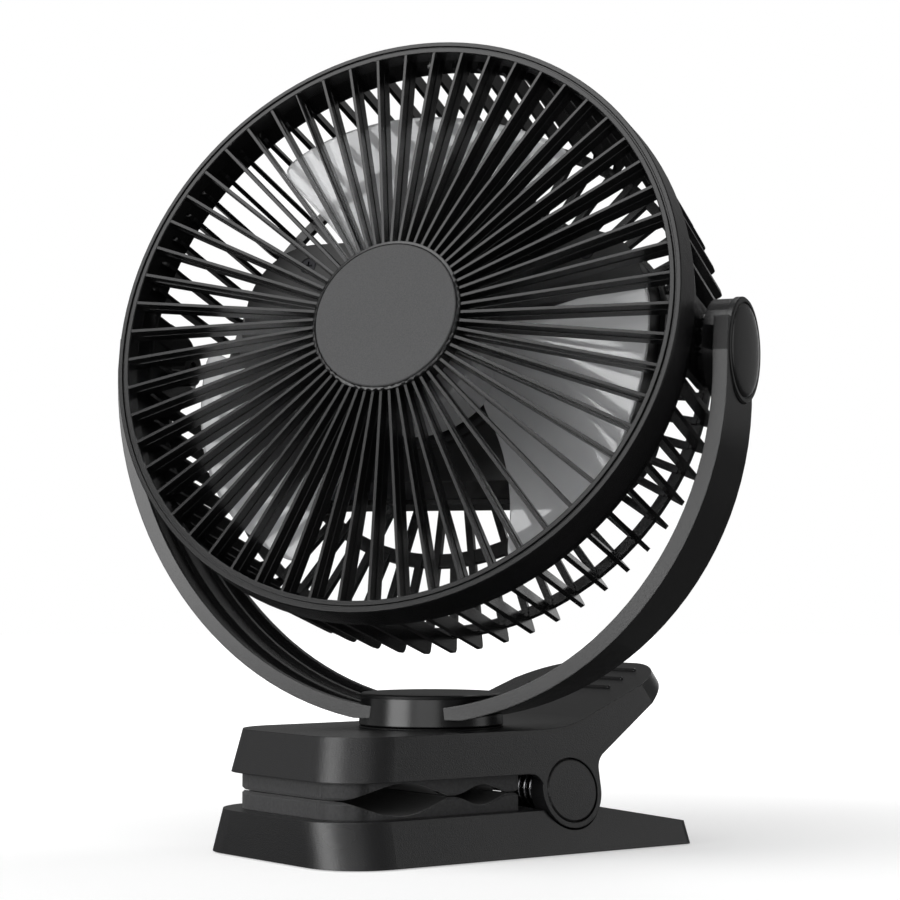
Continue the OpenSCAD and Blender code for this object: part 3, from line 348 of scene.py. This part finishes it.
switch_body = moulded("switch body", (0.32, 0.32, 0.33), 0.4, 0.15, 2400)
print("moulded plastics:", len([m for m in bpy.data.materials if "plastic" in m.name]))

# %% [markdown]
# ## Rubber pads
# The grip pads and the foot are soft rubber. Rubber reflects less than plastic,
# scatters light at grazing angles like dust on velvet, and carries a slightly
# coarser bloom. The same grain group serves, with a low specular level and a
# little sheen set on the shader itself. A mask of the place on the pad finds the walls of the eyes between the
# pads. There the colour is painted near black as shade, and the surface is made fully rough.

# %% Rubber
grip_rubber = moulded("grip rubber", (0.050, 0.050, 0.051), 0.36, 0.3, 1100,
                      edge_radius=0.0006, edge_highlight_gain=0.15, specular=0.12)
rubber_tree = grip_rubber.node_tree
rubber_shader = rubber_tree.nodes["Principled BSDF"]
rubber_shader.inputs["Sheen Weight"].default_value = 0.12
rubber_shader.inputs["Sheen Roughness"].default_value = 0.5
print("rubber ready")

# %% Where the eyes' walls are: in from both flanks and back from the front end
pad_low, pad_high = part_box("lower_grip")
new, join = rubber_tree.nodes.new, rubber_tree.links.new
spot = new("ShaderNodeTexCoord")
parts = new("ShaderNodeSeparateXYZ")
join(spot.outputs["Object"], parts.inputs[0])
side = new("ShaderNodeMath")
side.operation = "ABSOLUTE"
join(parts.outputs["Y"], side.inputs[0])
deep = new("ShaderNodeMapRange")
set_range(deep, reads=(pad_high.y - 0.0010, pad_high.y - 0.0022))
join(side.outputs[0], deep.inputs["Value"])
behind = new("ShaderNodeMapRange")
set_range(behind, reads=(pad_low.x + 0.006, pad_low.x + 0.010))
join(parts.outputs["X"], behind.inputs["Value"])
# This mask marks where shade is painted on the eyes' walls
inner = new("ShaderNodeMath")
inner.operation = "MULTIPLY"
join(deep.outputs["Result"], inner.inputs[0])
join(behind.outputs["Result"], inner.inputs[1])
print("eyes' walls begin", round(1000 * (pad_high.y - 0.0010), 1), "mm from the middle")

# %% Painted shade inside the eyes: near-black colour, and full roughness
for name, kind, shade_and_rough in (("Base Color", "RGBA", (0.0012, 0.0012, 0.0012, 1)),
                         ("Roughness", "FLOAT", 1.0)):
    blend = new("ShaderNodeMix")
    blend.data_type = kind
    blend.inputs["B"].default_value = shade_and_rough
    join(inner.outputs[0], blend.inputs["Factor"])
    join(rubber_shader.inputs[name].links[0].from_socket, blend.inputs["A"])
    join(blend.outputs["Result"], rubber_shader.inputs[name])
print("rubber nodes:", len(rubber_tree.nodes))

# %% [markdown]
# ## Metals
# Screws and pins are plated steel, turned on a lathe, so their finish runs
# round them in fine lines. A noise that is stretched along one axis gives such
# lines. Springs, sheet steel and ferrite differ only in colour and roughness.

# %% Metals
line_depth = 0.00005

def metal(name, tint, roughness, scale=900, stretch=(1, 1, 12), depth=0.25):
    """Plated or pressed metal with fine lines along the stretched axis."""
    material, tree, shader = new_material(name)
    new, join = tree.nodes.new, tree.links.new
    where = new("ShaderNodeTexCoord")
    turn = new("ShaderNodeMapping")
    turn.inputs["Scale"].default_value = stretch
    lines = new("ShaderNodeTexNoise")
    lines.inputs["Scale"].default_value = scale
    lines.inputs["Detail"].default_value = 4
    join(where.outputs["Object"], turn.inputs["Vector"])
    join(turn.outputs[0], lines.inputs["Vector"])
    ramp = new("ShaderNodeMix")
    ramp.data_type = "RGBA"
    ramp.inputs["A"].default_value = (*[0.72 * c for c in tint], 1)
    ramp.inputs["B"].default_value = (*tint, 1)
    join(lines.outputs["Fac"], ramp.inputs["Factor"])
    join(ramp.outputs["Result"], shader.inputs["Base Color"])
    span = new("ShaderNodeMapRange")
    set_range(span, gives=(0.8 * roughness, 1.3 * roughness))
    join(lines.outputs["Fac"], span.inputs["Value"])
    join(span.outputs["Result"], shader.inputs["Roughness"])
    bump = new("ShaderNodeBump")
    bump.inputs["Strength"].default_value = depth
    bump.inputs["Distance"].default_value = line_depth
    join(lines.outputs["Fac"], bump.inputs["Height"])
    join(bump.outputs[0], shader.inputs["Normal"])
    shader.inputs["Metallic"].default_value = 1.0
    return material

screw_steel = metal("screw steel", (0.62, 0.63, 0.65), 0.28)
black_steel = metal("black steel", (0.035, 0.035, 0.038), 0.34)
spring_steel = metal("spring steel", (0.58, 0.58, 0.60), 0.22, scale=700, stretch=(1, 1, 1))
bearing_steel = metal("bearing steel", (0.70, 0.71, 0.73), 0.12)
motor_steel = metal("motor steel", (0.45, 0.45, 0.47), 0.38, scale=500)
magnet_ferrite = metal("magnet ferrite", (0.13, 0.13, 0.14), 0.6, scale=1500, stretch=(1, 1, 1))
magnet_ferrite.node_tree.nodes["Principled BSDF"].inputs["Metallic"].default_value = 0.3
copper_wire = metal("copper wire", (0.62, 0.30, 0.14), 0.25,
                    scale=300, stretch=(1, 1, 18), depth=0.6)
print("metals ready")

# %% [markdown]
# ## Clear plastic
# The impeller is moulded in clear plastic. It is not optically pure: a
# slight milkiness catches the light, so it looks grey before the dark case and
# almost white before a white wall. Part of the light passes through the
# shader's transmission, and the rest is plain pale plastic.

# %% Clear plastic
wave_depth = 0.0002

def clear(name, tint, through, roughness, waviness):
    """Clear plastic: how much light goes through, and how wavy its skin is."""
    material, tree, shader = new_material(name)
    new, join = tree.nodes.new, tree.links.new
    where = new("ShaderNodeTexCoord")
    haze = new("ShaderNodeTexNoise")
    haze.inputs["Scale"].default_value = 60
    haze.inputs["Detail"].default_value = 3
    join(where.outputs["Object"], haze.inputs["Vector"])
    ramp = new("ShaderNodeMix")
    ramp.data_type = "RGBA"
    ramp.inputs["A"].default_value = (*[0.9 * c for c in tint], 1)
    ramp.inputs["B"].default_value = (*tint, 1)
    join(haze.outputs["Fac"], ramp.inputs["Factor"])
    join(ramp.outputs["Result"], shader.inputs["Base Color"])
    span = new("ShaderNodeMapRange")
    set_range(span, gives=(0.7 * roughness, 1.4 * roughness))
    join(haze.outputs["Fac"], span.inputs["Value"])
    join(span.outputs["Result"], shader.inputs["Roughness"])
    bump = new("ShaderNodeBump")
    bump.inputs["Strength"].default_value = waviness
    bump.inputs["Distance"].default_value = wave_depth
    join(haze.outputs["Fac"], bump.inputs["Height"])
    join(bump.outputs[0], shader.inputs["Normal"])
    shader.inputs["Transmission Weight"].default_value = through
    shader.inputs["IOR"].default_value = 1.49
    return material

clear_plastic = clear("clear plastic", (0.96, 0.965, 0.975), 0.58, 0.07, 0.12)
light_plastic = clear("light plastic", (0.80, 0.86, 0.92), 0.5, 0.35, 0.05)
print("clear plastics ready")

# %% [markdown]
# ## Inner parts
# The cells wear a plain shrink sleeve, and the board is green laminate under a
# clear mask. Both hide inside the case, yet a part that can be taken apart
# should look right there too. The moulded recipe serves again, with a coat.

# %% Inner parts
cell_sleeve = moulded("cell sleeve", (0.035, 0.12, 0.28), 0.25, 0.1, 500,
                      edge_highlight_gain=0.1, coat=0.4)
board_laminate = moulded("board laminate", (0.012, 0.10, 0.045), 0.3, 0.2, 900,
                         edge_radius=0.0002, edge_highlight_gain=0.4, coat=0.5)
print("inner parts ready")

# %% [markdown]
# ## Dressing the frame
# Every part of the frame names a finish. A dictionary from that name to a
# material dresses them all in one loop, which is surer than a line for each
# part. The fan's own screws are blackened, since they show through the grille.

# %% Every node takes the finish of its slot
finishes = {
    "clip_plastic": clip_plastic, "cap_plastic": clip_plastic,
    "yoke_plastic": yoke_plastic, "seat_plastic": seat_plastic,
    "knob_plastic": knob_plastic, "grille_plastic": grille_plastic,
    "badge_plastic": badge_plastic, "case_plastic": case_plastic,
    "button_plastic": button_plastic, "nut_plastic": nut_plastic,
    "clear_plastic": clear_plastic, "light_plastic": light_plastic,
    "grip_rubber": grip_rubber, "switch_body": switch_body,
    "screw_steel": screw_steel, "spring_steel": spring_steel,
    "bearing_steel": bearing_steel, "motor_steel": motor_steel,
    "magnet_ferrite": magnet_ferrite, "copper_wire": copper_wire,
    "cell_sleeve": cell_sleeve, "board_laminate": board_laminate,
}
blackened = ("case_screws", "cover_screws")
for part in frame["record"]["subparts"]:
    mesh = nodes[part["node"]].data
    mesh.materials.clear()
    finish = black_steel if part["node"] in blackened else finishes[part["material_slot"]]
    mesh.materials.append(finish)

# %% [markdown]
# ## Even skins
# A moulding turns its corners in one even sweep, but the frame's mesh turns
# them in flat steps, each with points of its own. Smooth shading alone can't
# cross such a seam. So each outer shell is copied, its double points are
# merged, flat triangles become one face, and corners under a small angle are
# shaded as one. A Weighted Normal modifier then keeps the wide flat walls
# flat, and only the narrow steps of a corner are blended.

# %% Even skins
body_of = {node: body for body, members in frame["record"]["behaviour"]["bodies"].items()
           for node in members}
same_point, flat_angle, corner_angle = 0.000001, math.radians(0.4), math.radians(13)

def even_skin(node):
    """A copy of a node whose gently turning faces are shaded as one skin."""
    deselect_all()
    skin = bpy.data.objects.new(node + "_skin", nodes[node].data.copy())
    bpy.context.scene.collection.objects.link(skin)
    skin.select_set(True)
    bpy.context.view_layer.objects.active = skin
    bpy.ops.object.mode_set(mode="EDIT")
    bpy.ops.mesh.select_all(action="SELECT")
    bpy.ops.mesh.remove_doubles(threshold=same_point)
    bpy.ops.mesh.dissolve_limited(angle_limit=flat_angle)
    bpy.ops.object.mode_set(mode="OBJECT")
    bpy.ops.object.shade_smooth_by_angle(angle=corner_angle)
    even = skin.modifiers.new("even", "WEIGHTED_NORMAL")
    even.mode, even.weight, even.keep_sharp = "FACE_AREA", 60, True
    bpy.ops.object.modifier_apply(modifier="even")
    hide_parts(node)
    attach(skin, body_of[node])

shells = ["lower_jaw", "upper_jaw", "lower_grip", "upper_grip", "pin_cap_left", "pin_cap_right",
          "yoke", "turntable_cap", "knob_left", "knob_right", "front_grille", "rear_grille",
          "badge", "battery_case", "rear_cover"]
for node in shells:
    even_skin(node)
print("even skins:", len(shells))

# %% [markdown]
# ## Impeller
# The impeller has three wide, swept blades on a cup-shaped hub, all in one
# clear moulding. A blade could be drawn as a curve loft, but a coarse net that
# is smoothed by subdivision is how such a form is shaped by hand: a row of
# points is spun round the axis, each column is lifted to its height, and each
# row is narrowed and turned, so the root is steeper and leads the tip.

# %% The impeller's own frame
spin = next(j for j in frame["joints"] if j["name"] == "impeller_spin")
tilt = next(j for j in frame["joints"] if j["name"] == "tilt")
airflow = Vector(spin["axis"]).normalized()
sideways = Vector(tilt["axis"]).normalized()
upward = sideways.cross(airflow).normalized()
turned_to = Matrix((upward, sideways, airflow)).transposed().to_4x4()
place = Matrix.Translation(spin["pos_m"]) @ turned_to
print("airflow", [round(v, 3) for v in airflow])

# %% Selecting by place
def select_points(test):
    """In edit mode, selects the vertices whose place passes the test."""
    bpy.ops.mesh.select_all(action="DESELECT")
    bpy.ops.mesh.select_mode(type="VERT")
    bpy.ops.object.mode_set(mode="OBJECT")
    for point in bpy.context.object.data.vertices:
        point.select = bool(test(point.co))
    bpy.ops.object.mode_set(mode="EDIT")

def apply_modifiers(obj):
    bpy.context.view_layer.objects.active = obj
    for modifier in list(obj.modifiers):
        bpy.ops.object.modifier_apply(modifier=modifier.name)

print("helpers ready")

# %% Sizes of the impeller, in metres from the spin joint's own place
hub_r, hub_front, hub_depth = 0.030, 0.0222, 0.019
blade_r = 0.085
root_r = hub_r - 0.001
sweep, lead = math.radians(76), math.radians(10)
root_width = 0.62
reach, root_reach = 0.018, 0.72
blade_back = hub_front - 0.0015 - reach
blade_t = 0.0016
rows, columns = 5, 8
print("blade reaches", round(1000 * (blade_r - root_r), 1), "mm from the hub")

# %% One blade: the net
strip = 0.001
deselect_all()
bpy.ops.mesh.primitive_grid_add(
    x_subdivisions=rows, y_subdivisions=1, size=1, location=(0, 0, 0))
blade = bpy.context.object
blade.name = "impeller_blade"
blade.scale = (blade_r - root_r, strip, 1)
blade.location = ((blade_r + root_r) / 2, strip / 2, 0)
bpy.ops.object.transform_apply(location=True, rotation=False, scale=True)
bpy.ops.object.mode_set(mode="EDIT")
select_points(lambda p: p.y > strip / 2)
bpy.ops.mesh.delete(type="VERT")
bpy.ops.mesh.select_all(action="SELECT")
bpy.ops.mesh.spin(steps=columns, angle=sweep, center=(0, 0, 0), axis=(0, 0, 1))
bpy.ops.object.mode_set(mode="OBJECT")
net = {}
for point in blade.data.vertices:
    row = round((point.co.xy.length - root_r) / (blade_r - root_r) * rows)
    column = round(abs(math.atan2(point.co.y, point.co.x)) / sweep * columns)
    net[row, column] = point.index
print("net:", len(net), "points", len(blade.data.polygons), "faces")

# %% One blade: every point of the net is turned and lifted to its place
bpy.ops.object.mode_set(mode="EDIT")
for (row, column), index in net.items():
    out, along = row / rows, column / columns
    radius = root_r + out * (blade_r - root_r)
    width = root_width + (1 - root_width) * out
    turn = sweep * along - sweep * width * (along - 0.5) + lead * (1 - out)
    height = 0.5 + 0.5 * math.cos(math.pi * along)
    lift = blade_back + reach * height * (root_reach + (1 - root_reach) * radius / blade_r)
    bpy.ops.mesh.select_all(action="DESELECT")
    bpy.ops.object.mode_set(mode="OBJECT")
    blade.data.vertices[index].select = True
    bpy.ops.object.mode_set(mode="EDIT")
    # With no window the turn runs the other way, hence the minus
    bpy.ops.transform.rotate(value=-turn, orient_axis="Z", center_override=(0, 0, 0))
    bpy.ops.transform.translate(value=(0, 0, lift))
bpy.ops.mesh.select_all(action="SELECT")
bpy.ops.mesh.normals_make_consistent(inside=False)
bpy.ops.object.mode_set(mode="OBJECT")
spread = [math.degrees(math.atan2(v.co.y, v.co.x)) for v in blade.data.vertices]
print("blade from", round(min(spread)), "to", round(max(spread)), "degrees")

# %% One blade: smooth skin, wall and soft rim
smooth = blade.modifiers.new("smooth", "SUBSURF")
smooth.levels = smooth.render_levels = 3
wall = blade.modifiers.new("wall", "SOLIDIFY")
wall.thickness, wall.offset = blade_t, 0
rim = blade.modifiers.new("rim", "BEVEL")
rim.width, rim.segments, rim.angle_limit = 0.0005, 2, math.radians(50)
apply_modifiers(blade)
print("blade faces:", len(blade.data.polygons))

# %% Three blades
def copy_turned(obj, angle):
    """A copy with its own mesh, turned about the airflow axis."""
    deselect_all()
    obj.select_set(True)
    bpy.context.view_layer.objects.active = obj
    bpy.ops.object.duplicate(linked=False)
    made = bpy.context.object
    made.rotation_euler.z = angle
    bpy.ops.object.transform_apply(location=False, rotation=True, scale=False)
    return made

blade_count, first_blade = 3, 4
blades = [copy_turned(blade, math.radians(360 / blade_count * k + first_blade))
          for k in range(blade_count)]
bpy.data.objects.remove(blade)
print("blades:", len(blades))

# %% [markdown]
# The hub is a cup with a soft shoulder. A lathe works by moving a ring
# outwards and down, and the same can be done with a circle: extrude its edge,
# scale the new ring to the next radius, move it to the next height. A helper
# does it for a list of radius and height, and Solidify gives the wall.

# %% A lathe
def turned(name, profile, wall_t, segments=96):
    """An open shell turned from (radius, height) pairs, with a wall inside it."""
    deselect_all()
    radius, height = profile[0]
    bpy.ops.mesh.primitive_circle_add(
        vertices=segments, radius=radius, fill_type="NOTHING", location=(0, 0, 0))
    obj = bpy.context.object
    obj.name = name
    bpy.ops.object.mode_set(mode="EDIT")
    bpy.ops.mesh.select_all(action="SELECT")
    bpy.ops.transform.translate(value=(0, 0, height))
    for next_radius, next_height in profile[1:]:
        bpy.ops.mesh.extrude_edges_move()
        bpy.ops.transform.translate(value=(0, 0, next_height - height))
        grow = next_radius / radius
        bpy.ops.transform.resize(value=(grow, grow, 1), center_override=(0, 0, next_height))
        radius, height = next_radius, next_height
    bpy.ops.mesh.select_all(action="SELECT")
    bpy.ops.mesh.normals_make_consistent(inside=False)
    bpy.ops.object.mode_set(mode="OBJECT")
    wall = obj.modifiers.new("wall", "SOLIDIFY")
    wall.thickness, wall.offset = wall_t, -1
    wall.use_even_offset = True
    apply_modifiers(obj)
    return obj

print("lathe ready")

# %% Hub and sleeve
hub_wall, shoulder_r, hub_hole, nut_seat_r = 0.0018, 0.0022, 0.0016, 0.010
sleeve_r, sleeve_top, sleeve_foot = 0.0188, hub_front - 0.002, hub_front - 0.013
quarter = [math.radians(15 * k) for k in range(7)]
shoulder = [(hub_r - shoulder_r + shoulder_r * math.sin(a),
             hub_front - shoulder_r + shoulder_r * math.cos(a)) for a in quarter]
front = [(hub_hole, hub_front), (nut_seat_r, hub_front)]
hub = turned("impeller_hub", front + shoulder + [(hub_r, hub_front - hub_depth)], hub_wall)
sleeve = turned("impeller_sleeve", [(sleeve_r, sleeve_top), (sleeve_r, sleeve_foot)], hub_wall)
print("hub faces:", len(hub.data.polygons))

# %% Webs between the hub and its sleeve
web_count, web_r, web_drop = 12, 0.0235, 0.0049
deselect_all()
bpy.ops.mesh.primitive_cube_add(size=1, location=(web_r, 0, hub_front - web_drop))
web = bpy.context.object
web.scale = (0.0100, 0.0012, 0.0068)
bpy.ops.object.transform_apply(location=True, rotation=False, scale=True)
soft = web.modifiers.new("soft", "BEVEL")
soft.width, soft.segments = 0.0003, 2
apply_modifiers(web)
webs = [copy_turned(web, math.radians(360 / web_count * k)) for k in range(web_count)]
bpy.data.objects.remove(web)
print("webs:", len(webs))

# %% One clear piece, seated on the motor
def joined(name, parts):
    """Joins parts to one object with an identity transform."""
    deselect_all()
    for part in parts:
        part.select_set(True)
    bpy.context.view_layer.objects.active = parts[0]
    bpy.ops.object.join()
    obj = bpy.context.object
    obj.name = name
    obj.data.name = name
    return obj

def smooth_by_angle(obj, angle=35):
    deselect_all()
    obj.select_set(True)
    bpy.context.view_layer.objects.active = obj
    bpy.ops.object.shade_smooth_by_angle(angle=math.radians(angle))

impeller = joined("impeller_clear", blades + [hub, sleeve] + webs)
# The mesh itself moves into place, so the object stays at the origin
impeller.data.transform(place)
impeller.data.update()
smooth_by_angle(impeller)
impeller.data.materials.clear()
impeller.data.materials.append(clear_plastic)
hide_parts("impeller")
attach(impeller, "impeller_body")
print("impeller:", sum(len(p.vertices) - 2 for p in impeller.data.polygons), "triangles")

# %% [markdown]
# ## Turntable
# The arch stands on a turntable whose wall reaches down to the clip, so the
# bearing ring below it stays out of sight. The frame has the bearing ring as a
# plain step. Here the wall is turned as a thin skirt that rides with the arch,
# and the ring is turned again as the low, dark well that is left around it.

# %% Turntable skirt: a slightly flared wall with a rounded foot
seat_low, seat_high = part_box("swivel_seat")
cap_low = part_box("turntable_cap")[0]
wall_top_r, wall_foot_r = 0.0237, seat_high.x
wall_top_z, wall_foot_z = cap_low.z + 0.0001, seat_low.z + 0.0006
skirt = turned("turntable_skirt", [
    (wall_top_r, wall_top_z),
    (wall_foot_r, wall_foot_z + 0.0004),
    (wall_foot_r - 0.0003, wall_foot_z + 0.0001),
    (wall_foot_r - 0.0008, wall_foot_z)], wall_t=0.0008, segments=128)
smooth_by_angle(skirt)
skirt.data.materials.clear()
skirt.data.materials.append(yoke_plastic)
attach(skirt, "yoke_body")
print("turntable wall in mm:", round(1000 * (wall_top_z - wall_foot_z), 1))

# %% Well around the turntable
well_r, well_hole, well_t = seat_high.x, 0.0165, 0.0003
well_top_z = seat_low.z + 0.0004
well = turned("swivel_well", [
    (well_r, seat_low.z),
    (well_r, well_top_z - 0.0002),
    (well_r - 0.0002, well_top_z),
    (well_hole, well_top_z)], wall_t=well_t, segments=128)
smooth_by_angle(well)
well.data.materials.clear()
well.data.materials.append(seat_plastic)
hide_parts("swivel_seat")
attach(well, "upper_clip")
print("gap under the wall in mm:", round(1000 * (wall_foot_z - well_top_z), 1))

# %% Finish
look_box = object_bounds()
grown = [b - a for a, b in zip(cad_box[1] - cad_box[0], look_box[1] - look_box[0])]
print("grown by mm:", [round(1000 * g, 2) for g in grown])
